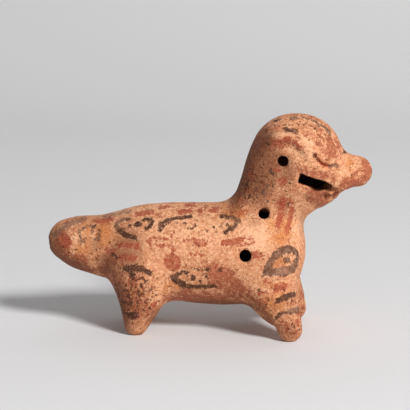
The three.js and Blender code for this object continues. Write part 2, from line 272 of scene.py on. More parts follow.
# Red slip paint, in the same form.
RED_STROKES = [
    ("rump bar 1", 1.34, [(-36.8, -17.5), (-29.6, -17.9)]),
    ("rump bar 2", 1.52, [(-36.4, -23), (-30.8, -22.8)]),
    ("loin top", 0.65, [(-23.6, -17.1), (-24.9, -15.8), (-23.4, -14.4), (-20.4, -14.3), (-16.5, -14.9)]),
    ("loin foot", 0.65, [(-23.4, -16.7), (-19.5, -17.6), (-15.8, -17.3)]),
    ("loin stem", 0.65, [(-13.2, -11.3), (-14.7, -13.9)]),
    ("loin stem foot", 0.56, [(-14.3, -16.5), (-14, -20.8)]),
    ("blot", 3.55, [(-14.4, -24.4), (-14, -25)]),
    ("flank bar top", 0.56, [(-9.3, -15.4), (-4.8, -14.9), (1.3, -15.6)]),
    ("flank bar", 1.21, [(-3.5, -16.7), (-0.4, -16.9)]),
    ("long bar fill", 1.39, [(8, -16.4), (14.6, -15.8)]),
    ("long bar top", 0.61, [(14.3, -14.7), (19.5, -14.1), (21.1, -15)]),
    ("long bar foot", 0.61, [(14.3, -17.3), (19.2, -16.9), (21.1, -15.9)]),
    ("wedge by the hole", 1.99, [(22.4, -21.6)]),
    ("wedge by the hole tip", 0.95, [(23.6, -21.6), (25, -21.7)]),
    ("ridge patch 1", 1.13, [(-28.6, -3.6), (-23, -3.2)]),
    ("ridge patch 2", 1.21, [(-10.8, -3.2), (-6.5, -2.4)]),
    ("ridge patch 3", 0.87, [(2.2, -2.2), (5.2, -2)]),
    ("neck bar left", 1.3, [(34.2, 2.3), (32.9, -3.5), (31.6, -9.1)]),
    ("neck bar right", 1.17, [(37.7, -1.7), (36.6, -6.9), (35.4, -11.7)]),
    ("neck bar top", 0.78, [(31.4, 0.9), (33.8, 2.4)]),
    ("cheek square", 1.73, [(32.6, 10.3), (34, 10.4)]),
    ("breast patch", 1.73, [(30.8, -36.2), (34.2, -35.3)]),
    ("tail patch", 2.34, [(-61.4, -13.9), (-60, -16.2)]),
    ("ridge patch 4", 1.04, [(-2.8, -2.3), (-1.5, -2.2)]),
    ("ridge patch 5", 0.69, [(-8.2, -0.3), (-4.8, 0)]),
    ("ridge patch 6", 0.78, [(-19.5, -1), (-16, -0.7)]),
    ("tail crown patch", 1.04, [(-46.4, -7.1), (-40.3, -6.1)]),
    ("rump patch", 0.95, [(-41.6, -21.2), (-39.9, -19.9)]),
    ("neck patch 1", 1.21, [(15.4, 2.2)]),
    ("neck patch 2", 0.69, [(36, 2.2), (37.7, 0.4)]),
    ("eye patch", 0.69, [(30.2, 15.6), (32.5, 14.5)]),
    ("neck patch 3", 0.87, [(19.5, 13.4)]),
    ("nose bridge line", 0.43, [(49.2, 19.3), (51.6, 17.5), (53.6, 17.1)]),
    ("neck foot patch", 0.87, [(14.3, -3.9), (17.8, -2.6)]),
    ("brow band", 0.65, [(29, 25.6), (31.2, 27.9), (35.1, 28.4), (38.6, 27.7), (41.6, 25)]),
    ("rosette foot patch", 0.61, [(25.6, -33.2), (28.2, -34)]),
]

# Flecks of red paint, like the crumbs.
RED_FLECKS = {
    "rump": [(0.69, [(-41.8, -20.6), (-40.6, -21.8)])],
    "flank": [(0.65, [(-5.8, -21.3), (-1.1, -21.5)])],
    "breast": [(0.78, [(23.4, -38.3), (27.6, -37.9)])],
    "hind leg": [(1.3, [(-22.2, -43.2)])],
}

# Soft areas of the finish and of painted light and shade: name, centre, half sizes, turn in degrees and
# strength.
# Slip rubbed off, and painted warm shade on undersides, such as under the tail and the nose and at the foot
# of the neck.
WORN_AND_WARM_SHADE_AREAS = [
    ("lower flank", (9.1, -32.1), (9.53, 4.33), -32, 1.0),
    ("lower flank front", (15.2, -38.6), (6.93, 3.03), -38, 0.6),
    ("belly band", (0, -39.9), (19.93, 3.03), 0, 0.85),
    ("thigh back", (-39.9, -24.7), (4.33, 7.8), 0, 0.6),
    ("rump foot", (-41.2, -30.8), (6.07, 4.33), -30, 0.8),
    ("tail under", (-56.8, -25.1), (12.13, 4.33), -20, 0.8),
    ("tail ball", (-62, -16.9), (5.63, 7.37), 0, 0.75),
    ("fore leg back", (23, -42), (3.03, 6.93), 35, 0.6),
    ("fore foot", (37.3, -53.7), (4.33, 3.9), 0, 0.7),
    ("far foot", (42.5, -45.1), (2.6, 3.47), 0, 0.9),
    ("hind foot", (-28.2, -51.6), (3.9, 3.9), 0, 0.35),
    ("neck back", (18.2, 11.7), (3.9, 14.73), -14, 0.6),
    ("head back", (24.7, 27.7), (3.9, 8.67), -30, 0.7),
    ("brow", (34.2, 27.3), (7.8, 2.17), 2, 0.8),
    ("brow front", (40.7, 25.7), (3.9, 1.95), -40, 1.4),
    ("forehead", (53.7, 23), (5.63, 5.2), 0, 0.8),
    ("nose tip", (68.9, 13.4), (3.9, 5.63), 0, 0.8),
    ("lower lip", (49, 3.5), (6.93, 3.47), -20, 0.95),
    ("neck foot", (13.4, -1.3), (3.9, 2.17), 0, 0.5),
    ("shoulder", (24.7, -10.4), (2.6, 4.33), 0, 0.1),
    ("far brow", (39.9, 16.9), (4.33, 2.6), -20, 0.3),
    ("upper lip", (47.7, 13.4), (12.13, 2.38), -15, 0.85),
    ("nose under", (63.3, 9.5), (5.63, 2.17), 0, 0.95),
    ("rump dark", (-41.2, -26.9), (4.33, 3.9), 0, 0.8),
    ("hind thigh", (-29.9, -39.4), (6.93, 8.67), 0, 0.85),
    ("loin", (-16.5, -4.3), (6.93, 2.17), 0, 0.3),
    ("fore leg front", (37.7, -42), (3.47, 2.6), 0, 0.35),
    ("spine", (-2.2, 0), (11.27, 1.3), 0, 0.3),
    ("crown right", (49, 32.1), (6.07, 3.9), -35, 0.2),
    ("crown middle", (41.6, 30.3), (3.9, 2.6), 0, 0.6),
    ("by the hole", (21.7, -19.9), (2.6, 2.6), 0, 0.6),
    ("neck bars", (33.8, 0), (2.17, 3.9), 12, 0.7),
]

# Orange tint from iron.
ORANGE_AREAS = [
    ("chest", (32.9, -11.7), (6.5, 7.37), 0, 0.8),
    ("tail middle", (-43.8, -11.7), (3.47, 6.93), 0, 1.0),
    ("tail crown", (-51.6, -10), (3.9, 3.47), 0, 0.7),
    ("rosette", (32.5, -24.7), (4.33, 2.6), 25, 0.9),
    ("nose bridge", (62.8, 17.8), (3.03, 3.03), 0, 0.7),
    ("rump", (-38.6, -14.3), (4.33, 3.47), 0, 0.5),
    ("tail low", (-51.6, -19.5), (8.67, 5.2), 0, 0.6),
    ("tail crown front", (-52.4, -6.9), (2.6, 1.73), 0, 0.6),
    ("under the bracket", (-15.2, -34.7), (3.9, 1.73), 0, 0.8),
    ("neck foot", (11.7, -3.5), (5.63, 3.47), 0, 0.9),
    ("fore leg", (30.8, -41.2), (7.8, 7.8), 0, 0.65),
    ("thigh front", (-16.9, -36), (6.07, 3.47), 0, 0.4),
    ("hind shank", (-29, -41.2), (6.93, 8.67), 0, 0.55),
]

# Slip that lies thick and pale, and painted highlights where the light catches the shoulder, the brow's
# crest, the forehead crest, the snout top and the back.
PALE_SLIP_AND_HIGHLIGHT_AREAS = [
    ("shoulder", (22.1, -13.4), (6.07, 6.93), 0, 1.4),
    ("upper flank", (-6.5, -11.7), (22.53, 7.8), 0, 0.5),
    ("throat", (39.9, -8.2), (3.03, 8.67), 0, 1.1),
    ("rosette lid", (36, -21.2), (3.03, 1.73), 25, 0.7),
    ("hind thigh", (-23, -37.7), (5.2, 5.2), 0, 0.6),
    ("forehead crest", (42.5, 23.8), (5.2, 3.9), -50, 0.9),
    ("snout top", (61.1, 18.2), (5.2, 2.6), 0, 1.1),
    ("tail crescent", (-56.8, -17.8), (1.73, 6.07), -8, 0.9),
    ("back", (-23.8, -1.3), (15.6, 1.73), 8, 0.5),
    ("crest left", (29.9, 30.5), (6.07, 0.95), 4, 1.3),
    ("crest right", (43.3, 28.5), (5.2, 1.04), -38, 1.4),
    ("cheek", (39.4, 18.6), (3.9, 2.6), 0, 0.4),
    ("muzzle side", (50.7, 11.7), (6.93, 3.03), -20, 0.4),
    ("jaw", (41.2, 2.2), (5.2, 3.47), 0, 0.5),
    ("breast", (24.7, -33.8), (5.2, 4.33), 0, 0.4),
]

# More dark specks than elsewhere.
GRIME_AREAS = [
    ("neck back", (20.4, 9.1), (6.07, 12.13), -14, 1.1),
    ("crown", (40.3, 36), (14.73, 4.77), 0, 0.9),
    ("crown right", (50.7, 33.4), (5.2, 5.2), 0, 1.0),
    ("cheek", (27.3, 6.5), (7.8, 6.07), 0, 0.8),
    ("breast", (31.6, -40.3), (8.67, 6.93), 0, 0.9),
    ("fore foot", (36.8, -52.4), (5.2, 4.33), 0, 0.8),
    ("hind thigh", (-30.3, -39.4), (9.53, 13), 0, 1.3),
    ("thigh back", (-40.3, -24.7), (6.93, 8.67), 0, 0.6),
    ("tail", (-54.2, -17.3), (13, 9.53), 0, 0.4),
    ("spine", (-10.8, -1.7), (26, 3.03), 0, 0.6),
    ("lower flank", (-2.2, -30.3), (17.33, 6.93), 0, 0.35),
    ("rosette", (34.2, -24.7), (8.67, 7.8), 0, 0.4),
]

# Black paint rubbed to grey.
THIN_AREAS = [
    ("rosette", (32.5, -24.7), (8.67, 8.67), 0, 0.55),
    ("rosette foot", (33.4, -28.6), (3.47, 1.73), 0, 1.3),
    ("fore leg bar", (38.1, -45.1), (3.47, 2.17), 0, 1.0),
    ("tail crown", (-53.3, -8.2), (5.2, 3.47), 0, 0.9),
    ("tail bars", (-49.8, -13.4), (6.5, 3.9), 0, 1.0),
    ("crown", (43.8, 35.5), (11.27, 5.63), -18, 0.7),
    ("rump bracket", (-37.7, -7.4), (3.03, 2.6), 0, 0.7),
    ("shoulder bracket", (13.4, -7.4), (3.9, 3.03), 0, 0.6),
    ("crease marks", (52.4, 18.2), (6.93, 4.33), 0, 1.0),
    ("tail top", (-57.6, -8.2), (10.4, 3.9), 25, 1.7),
    ("ridge", (-37.7, -3.5), (8.67, 2.6), 10, 1.7),
    ("neck crumbs", (23.8, 8.2), (6.93, 6.93), 0, 0.8),
]

# Painted shade: slip darkened where shade falls, on undersides, on rims turned from the light, under the jaw
# and on the legs and neck, and in part darkened by smoke and handling.
SHADE_AND_SMOKE_AREAS = [
    ("hind leg", (-29.9, -43.8), (7.37, 12.13), 0, 0.55),
    ("hind thigh", (-38.6, -30.3), (6.5, 8.67), 0, 0.45),
    ("tail root", (-42, -25.6), (4.77, 5.63), 0, 0.8),
    ("tail end", (-64.6, -17.8), (5.2, 8.67), 0, 0.7),
    ("tail top", (-49.8, -6.9), (16.47, 3.03), 5, 0.35),
    ("jaw", (49, 2.6), (7.8, 3.47), -15, 0.6),
    ("neck back", (16.5, 13.4), (3.9, 14.73), -14, 1.5),
    ("head back", (23, 24.3), (5.2, 9.1), -33, 1.3),
    ("neck", (24.7, 10), (6.5, 12.13), -10, 0.85),
    ("temple", (29, 17.8), (5.2, 7.8), 0, 1.0),
    ("muzzle", (42.9, 15.2), (6.93, 2.6), -14, 0.3),
    ("breast", (29.9, -27.3), (9.53, 9.53), 0, 0.35),
    ("tail mid", (-47.2, -17.3), (3.03, 3.9), 0, 0.5),
    ("upper lip", (55.9, 11.7), (4.33, 1.73), -16, 0.3),
    ("neck hole foot", (22.1, -6.9), (3.9, 3.03), 0, 0.45),
    ("fore foot back", (27.3, -50.7), (3.03, 4.33), 0, 0.95),
    ("nose under", (62.8, 9.5), (4.33, 1.73), 0, 0.2),
    ("throat", (35.1, 1.3), (8.67, 6.93), 0, 0.5),
    ("hip", (-33.4, -19.5), (6.93, 12.13), 0, 0.65),
    ("hind leg edge", (-22.1, -48.1), (2.6, 5.63), -30, 0.8),
    ("tail rim left", (-67.2, -18.6), (2.6, 8.67), 15, 1.0),
    ("tail rim under", (-59.4, -25.6), (11.7, 3.47), -25, 0.95),
    ("belly foot", (7.4, -43.3), (16.47, 2.17), -3, 1.1),
    ("chest front", (39, -19.5), (3.47, 7.8), 0, 0.15),
    ("hind leg left", (-36.4, -43.8), (3.9, 12.13), 10, 1.0),
    ("brow", (28.2, 24.7), (3.47, 2.6), 20, 0.3),
    ("fore leg back", (24.7, -45.9), (2.6, 8.67), 38, 0.65),
    ("fore foot", (36.8, -55), (5.2, 3.47), 0, 0.6),
    ("belly band", (0, -40.3), (20.8, 2.6), 0, 0.2),
    ("chest edge", (42, -7.4), (1.73, 6.93), 0, 0.5),
    ("cheek", (34.7, 13.4), (5.63, 6.5), 0, 0.75),
    ("fore leg", (34.2, -45.5), (6.93, 7.8), 0, 0.4),
]


# Clay form


def smoothed(knots):
    """Knots joined by a smooth curve through each, for place, radius and stretch alike."""
    knots = np.array(knots, float)
    path = [knots[0]]
    for i in range(len(knots) - 1):
        here, after = knots[i], knots[i + 1]
        before, beyond = knots[max(i - 1, 0)], knots[min(i + 2, len(knots) - 1)]
        leave, arrive, rest = (after - before) / 2, (beyond - here) / 2, after - here
        for step in range(1, ROLL_STEPS + 1):
            t = step / ROLL_STEPS
            bend = (3 * rest - 2 * leave - arrive) * t * t + (leave + arrive - 2 * rest) * t ** 3
            path.append(here + leave * t + bend)
    return np.array(path, np.float32)


def roll(knots, p):
    """Signed distance from points (3 rows) to a roll of clay, below zero inside it."""
    path = smoothed(knots)
    nearest = np.full(p.shape[1], np.inf, np.float32)
    for a, b in zip(path, path[1:]):
        step = b - a
        run = step[:3] / (step[:3] @ step[:3])
        t = np.clip(run @ p - run @ a[:3], 0, 1)
        dx = p[0] - a[0] - step[0] * t
        dy = (p[1] - a[1] - step[1] * t) / (a[4] + step[4] * t)
        dz = p[2] - a[2] - step[2] * t
        nearest = np.minimum(nearest, np.sqrt(dx * dx + dy * dy + dz * dz) - a[3] - step[3] * t)
    return nearest


def mirrored(knots):
    return [(x, -y, z, radius, stretch) for x, y, z, radius, stretch in knots]


def pair(knots, p):
    return [roll(knots, p), roll(mirrored(knots), p)]


def joined(fillet, shapes):
    """Shapes pressed together, with a fillet of wiped clay where they meet."""
    whole = shapes[0]
    for shape in shapes[1:]:
        overlap = np.maximum(fillet - np.abs(whole - shape), 0) / fillet
        whole = np.minimum(whole, shape) - overlap * overlap * fillet / 4
    return whole


def carved(rim, whole, gap):
    """A shape with another cut out of it, its rim rounded over."""
    return -joined(rim, [-whole, gap])


def head_form(p):
    rolls = [roll(knots, p) for knots in (NECK, FOREHEAD, NOSE, JAW)]
    return joined(FACE_FILLET, rolls + pair(LIP, p))


def figure_plain(p):
    """The figure before its face is worked and its skin is marked."""
    return joined(BODY_FILLET, [roll(TRUNK, p), head_form(p)] + pair(HIND_LEG, p) + pair(FORE_LEG, p))


def reach_out(form, x, z, level):
    """How far out sideways a form first rises to a level, from the mid-plane at x and z."""
    furthest, step = 40, 0.05
    y = np.arange(0, furthest, step)
    values = form(np.array([np.full_like(y, x), y, np.full_like(y, z)], np.float32))
    return float(y[np.argmax(values >= level)])


def settled(knots, form, proud, ends=1.0):
    """The same knots moved out sideways until the roll stands so far proud of a form, less at its ends."""
    levels = [proud * ends] + [proud] * (len(knots) - 2) + [proud * ends]
    return [
        (x, reach_out(form, x, z, level - radius), z, radius, 1.0)
        for level, (x, z, radius) in zip(levels, knots)
    ]


def lattice(p, size, seed):
    """Smooth random values from -1 to 1 that change over about one size, in millimetres."""
    cells, start = 32, 7.3
    table = np.random.default_rng(seed).uniform(-1, 1, (cells, cells, cells)).astype(np.float32)
    q = p / size + start
    cell = np.floor(q).astype(int)
    t = q - cell
    t = t * t * (3 - 2 * t)
    total = np.zeros(p.shape[1], np.float32)
    for corner in itertools.product((0, 1), repeat=3):
        weight = np.ones(p.shape[1], np.float32)
        for axis, side in enumerate(corner):
            weight *= t[axis] if side else 1 - t[axis]
        i, j, k = ((cell[axis] + corner[axis]) % cells for axis in range(3))
        total += weight * table[i, j, k]
    return total


def near(p, place, size):
    """1 at a place, falling softly to 0 past a size."""
    q = (p - np.array(place, np.float32)[:, None]) / size
    return np.exp(-(q * q).sum(0))


def outer_form(p, sizes):
    """The skin of the figure without its holes."""
    head = head_form(p)
    brow = settled(BROW, head_form, sizes.brow_proud, BROW_ENDS)
    lip = settled(CREASE_LIP, head_form, *LIP_PROUD)
    rim = settled(JAW_RIM, head_form, *RIM_PROUD)
    face = joined(BROW_FILLET, [head] + pair(brow, p) + pair(lip, p) + pair(rim, p))
    grooves = ((CREASE, CREASE_PROUD), (MOUTH_LINE, LINE_PROUD), (JAW_GROOVE, GROOVE_PROUD))
    for knots, proud in grooves:
        for side in pair(settled(knots, head_form, proud), p):
            face = carved(GROOVE_RIM, face, side)
    for side in (-1, 1):
        eye_x, eye_z = BORES["eye"][:2]
        eye = (eye_x, side * reach_out(head_form, eye_x, eye_z, 0), eye_z)
        face = face + SOCKET_DEPTH * near(p, eye, SOCKET_SPREAD)
    legs = pair(HIND_LEG, p) + pair(FORE_LEG, p)
    whole = joined(BODY_FILLET, [roll(TRUNK, p), face] + legs)
    whole = whole + sizes.unevenness * sum(share * lattice(p, size, seed) for size, share, seed in HAND_MARKS)
    broken = near(p * SIDE_ON, BROKEN_JAW, BROKEN_JAW_SPREAD) * (p[1] < 0)
    rough = near(p * SIDE_ON, ROUGH_JAW, ROUGH_JAW_SPREAD) * lattice(p, ROUGH_JAW_CLOD, ROUGH_JAW_SEED)
    return whole + BROKEN_JAW_DEPTH * broken + ROUGH_JAW_HEIGHT * rough


def hollows(p):
    """The two hollows and every hole that leads to them."""
    gaps = [joined(HOLLOW_FILLET, [roll(CHAMBER, p), roll(CHAMBER_NECK, p)]), roll(HEAD_HOLLOW, p)]
    for x, z, out, across in BORES.values():
        y = reach_out(figure_plain, x, z, 0)
        for side in (-1, 1):
            way = np.array((out[0], out[1] * side, out[2]), np.float32)
            way /= np.linalg.norm(way)
            q = p - np.array((x, y * side, z), np.float32)[:, None]
            along = way @ q
            off = np.sqrt(np.maximum((q * q).sum(0) - along * along, 0))
            gaps.append(np.maximum(off - across / 2, np.abs(along) - BORE_DEPTH))
    sag = near(p * SIDE_ON, MOUTH_SAG, MOUTH_SAG_SPREAD) * (p[1] < 0)
    forward = p[0] - MOUTH_WALL_START
    mouth = flat_cut(p, MOUTH_REAR, MOUTH_FRONT, MOUTH_WIDTH, MOUTH_GAPE)
    mouth = mouth + MOUTH_RAGGED * lattice(p, MOUTH_CLOD, MOUTH_SEED) - MOUTH_SAG_DEPTH * sag
    mouth = mouth + MOUTH_TAPER * np.clip(forward / MOUTH_TAPER_LENGTH, 0, 1) + MOUTH_FAR_LESS * (p[1] > 0)
    gaps.append(np.maximum(mouth, np.minimum(MOUTH_WALL_HALF - np.abs(p[1]), forward)))
    gaps.append(flat_cut(p, CHANNEL_START, CHANNEL_END, *CHANNEL_SECTION))
    low, high = np.array(WINDOW_LOW)[:, None], np.array(WINDOW_HIGH)[:, None]
    gaps.append(np.maximum(low - p, p - high).max(0))
    return np.minimum.reduce([gap.astype(np.float32) for gap in gaps])


def flat_cut(p, start, end, wide, high):
    """A flat-sided cut between two points of the mid-plane, square across the figure."""
    run = np.array((end[0] - start[0], end[1] - start[1]), np.float32)
    length = float(np.hypot(*run))
    run /= length
    along = (p[0] - start[0]) * run[0] + (p[2] - start[1]) * run[1]
    above = (p[2] - start[1]) * run[0] - (p[0] - start[0]) * run[1]
    return np.maximum.reduce([-along, along - length, np.abs(above) - high / 2, np.abs(p[1]) - wide / 2])


def clay(p, sizes):
    """The figure as it is: hollow, holed and standing on flat soles."""
    whole = carved(sizes.rim, outer_form(p, sizes), hollows(p))
    return carved(SOLE_RIM, whole, p[2])


# Mesh


def finer(values, axis, times):
    """Values spread over a grid that is so many times finer along one axis."""
    count = (values.shape[axis] - 1) * times + 1
    place = np.arange(count) / times
    low = np.minimum(place.astype(int), values.shape[axis] - 2)
    t = (place - low).astype(np.float32).reshape([-1 if a == axis else 1 for a in range(3)])
    return values.take(low, axis) * (1 - t) + values.take(low + 1, axis) * t


def sampled(form, low, high, step, times=4, band=3.6):
    """A form's values on a grid, exact near its skin and interpolated elsewhere."""
    count = np.ceil((np.array(high) - low) / (step * times)).astype(int) + 1
    axes = [low[a] + np.arange(count[a]) * step * times for a in range(3)]
    grid = np.array(np.meshgrid(*axes, indexing="ij"), np.float32)
    values = form(grid.reshape(3, -1)).reshape(count)
    for axis in range(3):
        values = finer(values, axis, times)
    close = np.argwhere(np.abs(values) < band)
    for some in np.array_split(close, 1 + len(close) // 150000):
        points = (np.array(low)[:, None] + some.T * step).astype(np.float32)
        values[tuple(some.T)] = form(points)
    return values


def skin(values, low, step):
    """The skin of sampled values: one point in each cell that it passes through, and four-sided faces."""
    inside = values < 0
    corners = list(itertools.product((0, 1), repeat=3))
    cut = tuple(n - 1 for n in values.shape)
    part = [tuple(slice(o, o + n) for o, n in zip(corner, cut)) for corner in corners]
    count = sum(inside[window].astype(np.int8) for window in part)
    mixed = (count > 0) & (count < 8)
    cells = np.argwhere(mixed)
    number = np.full(cut, -1, np.int64)
    number[mixed] = np.arange(len(cells))
    at_corner = np.array([values[window][mixed] for window in part])
    total = np.zeros((len(cells), 3))
    hits = np.zeros(len(cells))
    for a, b in itertools.combinations(range(8), 2):
        step_to = np.subtract(corners[b], corners[a])
        if np.abs(step_to).sum() != 1:
            continue
        va, vb = at_corner[a], at_corner[b]
        crossed = (va < 0) != (vb < 0)
        t = np.where(crossed, va / np.where(crossed, va - vb, 1), 0)
        total += crossed[:, None] * (np.array(corners[a]) + t[:, None] * step_to)
        hits += crossed
    points = np.array(low) + (cells + total / hits[:, None]) * step
    faces = []
    for axis in range(3):
        one, two = (axis + 1) % 3, (axis + 2) % 3
        ahead = np.roll(inside, -1, axis)
        crossed = inside != ahead
        for side in (one, two):
            crossed[tuple(0 if a == side else slice(None) for a in range(3))] = False
            crossed[tuple(-1 if a == side else slice(None) for a in range(3))] = False
        crossed[tuple(-1 if a == axis else slice(None) for a in range(3))] = False
        edges = np.argwhere(crossed)
        ring = []
        for back_one, back_two in ((1, 1), (0, 1), (0, 0), (1, 0)):
            cell = edges.copy()
            cell[:, one] -= back_one
            cell[:, two] -= back_two
            ring.append(number[tuple(cell.T)])
        ring = np.array(ring).T
        outward = inside[tuple(edges.T)]
        ring[~outward] = ring[~outward, ::-1]
        faces.append(ring)
    return points, np.concatenate(faces)


def mesh_object(name, points, faces):
    mesh = bpy.data.meshes.new(name)
    mesh.from_pydata((points * MM).tolist(), [], faces.tolist())
    mesh.polygons.foreach_set("use_smooth", np.ones(len(faces), bool))
    mesh.update()
    piece = bpy.data.objects.new(name, mesh)
    bpy.context.scene.collection.objects.link(piece)
    return piece


# Painted marks

# Marks end where the skin turns from the viewer, from one cosine and over a span of it, and count only as far
# as their reach. Inside the holes the colour turns to a darker clay, from one depth under the skin and over
# another.
MARKS_FADE_FROM = 0.16
MARKS_FADE_OVER = 0.12
MARK_REACH = 3
HOLE_CLAY_FROM = 0.9
HOLE_CLAY_OVER = 1.2


def viewer():
    """The viewer's eye in millimetres, and the directions right, up and back towards the eye."""
    turn, rise = math.radians(VIEW_TURN), math.radians(VIEW_RISE)
    back = np.array((math.sin(turn) * math.cos(rise), -math.cos(turn) * math.cos(rise), math.sin(rise)))
    right = np.array((math.cos(turn), math.sin(turn), 0))
    return np.array(AIM) + back * VIEW_DISTANCE, right, np.cross(back, right), back


def side_view(points):
    """Where the viewer of the show side sees points: millimetres right and up of the aim point."""
    eye, right, up, back = viewer()
    sight = points - eye
    depth = -(sight @ back) / VIEW_DISTANCE
    return np.array((sight @ right / depth, sight @ up / depth))


def to_stroke(place, half_width, points):
    """Distance to a painted stroke, below zero on it."""
    nearest = np.full(place.shape[1], np.inf)
    ends = zip(points, points[1:]) if len(points) > 1 else [(points[0], points[0])]
    for a, b in ends:
        a, step = np.array(a), np.subtract(b, a)
        off = place - a[:, None]
        t = np.clip(step @ off / max(step @ step, 1e-9), 0, 1)
        nearest = np.minimum(nearest, np.hypot(*(off - step[:, None] * t)))
    return nearest - half_width


def to_outline(place, outline):
    """Signed distance to a closed outline, below zero within it."""
    nearest = np.full(place.shape[1], np.inf)
    odd = np.zeros(place.shape[1], bool)
    for a, b in zip(outline, outline[1:] + outline[:1]):
        nearest = np.minimum(nearest, to_stroke(place, 0, [a, b]))
        spans = (a[1] > place[1]) != (b[1] > place[1])
        rise = b[1] - a[1] or 1e-9
        odd ^= spans & (place[0] < (b[0] - a[0]) * (place[1] - a[1]) / rise + a[0])
    return np.where(odd, -nearest, nearest)


def soft_area(place, areas):
    """How strongly a point lies in any of the soft areas, from 0 to about 1."""
    most = np.zeros(place.shape[1])
    for _, centre, half, turn, strength in areas:
        c, s = math.cos(math.radians(turn)), math.sin(math.radians(turn))
        off = place - np.array(centre)[:, None]
        q = np.array((off[0] * c + off[1] * s, off[1] * c - off[0] * s)) / np.array(half)[:, None]
        most = np.maximum(most, strength * np.exp(-0.7 * (q * q).sum(0) ** 1.5))
    return most


def painted(place, strokes):
    """Distance to the nearest of the strokes, below zero on it."""
    return np.minimum.reduce([to_stroke(place, half_width, points) for _, half_width, points in strokes])


def rosette(place):
    """Distance to the ringed eye, below zero on its ring and pupil."""
    ring = np.maximum(to_outline(place, ROSETTE_EDGE), -to_outline(place, ROSETTE_OPENING))
    return np.minimum(ring, to_stroke(place, ROSETTE_PUPIL[1], [ROSETTE_PUPIL[0]]))


def strewn(crumbs):
    """Crumbs by place, in the form of strokes."""
    return [(where, *crumb) for where, group in crumbs.items() for crumb in group]


def paint(piece, sizes):
    """Writes onto each point how far it lies from each paint, how much wear, thick slip, grime and thin paint
    it has, and how much painted shade and painted highlight it takes.
    """
    mesh = piece.data
    points, normals = np.empty((2, len(mesh.vertices), 3))
    mesh.vertices.foreach_get("co", points.ravel())
    mesh.vertex_normals.foreach_get("vector", normals.ravel())
    points /= MM
    far = points[:, 1] > 0
    for rows in (points, normals):
        rows[far, 1] *= -1
    sight = viewer()[0] - points
    facing = (normals * sight).sum(1) / np.linalg.norm(sight, axis=1)
    place = side_view(points)
    shifted = place - np.array(sizes.far_shift)[:, None]
    black = np.minimum(painted(place, BLACK_STROKES + strewn(BLACK_CRUMBS)), rosette(place))
    black_far = np.minimum(painted(shifted, BLACK_STROKES), rosette(shifted))
    red, red_far = painted(place, RED_STROKES + strewn(RED_FLECKS)), painted(shifted, RED_STROKES)
    hidden = np.clip((MARKS_FADE_FROM - facing) / MARKS_FADE_OVER, 0, 1) * MARK_REACH
    depth = -outer_form(points.T.astype(np.float32), sizes)
    facts = {
        "black": np.clip(np.where(far, black_far, black) + hidden, -MARK_REACH, MARK_REACH),
        "red": np.clip(np.where(far, red_far, red) + hidden, -MARK_REACH, MARK_REACH),
        # slip rubbed off, and painted warm shade on undersides
        "worn": soft_area(place, WORN_AND_WARM_SHADE_AREAS),
        "orange": soft_area(place, ORANGE_AREAS),
        "pale_and_highlight": soft_area(place, PALE_SLIP_AND_HIGHLIGHT_AREAS),
        "grime": soft_area(place, GRIME_AREAS),
        "thin": soft_area(place, THIN_AREAS),
        # painted shade, in part smoke darkening
        "shade_and_smoke": soft_area(place, SHADE_AND_SMOKE_AREAS),
        "inner": np.clip((depth - HOLE_CLAY_FROM) / HOLE_CLAY_OVER, 0, 1),
    }
    for name, values in facts.items():
        mesh.attributes.new(name, "FLOAT", "POINT").data.foreach_set("value", values.astype(np.float32))


# Material


def linear(hex_colour):
    """An sRGB hex colour as linear values with alpha."""
    parts = [int(hex_colour[i:i + 2], 16) / 255 for i in (1, 3, 5)]
    return tuple(v / 12.92 if v <= 0.04045 else ((v + 0.055) / 1.055) ** 2.4 for v in parts) + (1.0,)


def add(tree, kind, inputs=(), **settings):
    """Adds a node. An input is a value, or an output socket to link."""
    node = tree.nodes.new(kind)
    for name, value in settings.items():
        setattr(node, name, value)
    for key, value in dict(inputs).items():
        if isinstance(value, bpy.types.NodeSocket):
            tree.links.new(value, node.inputs[key])
        else:
            node.inputs[key].default_value = value
    return node


def noise(tree, coordinates, size, detail=3.0, roughness=0.55, offset=0.0):
    """Noise whose blotches are about one size across, in millimetres. The offset keeps two noises apart."""
    moved = add(tree, "ShaderNodeMapping", {"Vector": coordinates, "Location": (offset, offset, offset)})
    inputs = {"Vector": moved.outputs[0], "Scale": 1 / (size * MM), "Detail": detail, "Roughness": roughness}
    return add(tree, "ShaderNodeTexNoise", inputs).outputs[0]


def maths(tree, operation, a, b=0.0, c=0.0):
    return add(tree, "ShaderNodeMath", {0: a, 1: b, 2: c}, operation=operation).outputs[0]


def between(tree, value, low, high):
    """0 below low and 1 above high, smooth in between, or the reverse where low is above high."""
    inputs = {"Value": value, "From Min": low, "From Max": high}
    return add(tree, "ShaderNodeMapRange", inputs, interpolation_type="SMOOTHSTEP").outputs[0]


def mixed(tree, share, under, over):
    """One colour laid over another by a share from 0 to 1."""
    inputs = {"Factor": share, 6: under, 7: over}
    return add(tree, "ShaderNodeMix", inputs, data_type="RGBA").outputs[2]


def attribute(tree, name):
    return add(tree, "ShaderNodeAttribute", attribute_name=name).outputs["Fac"]


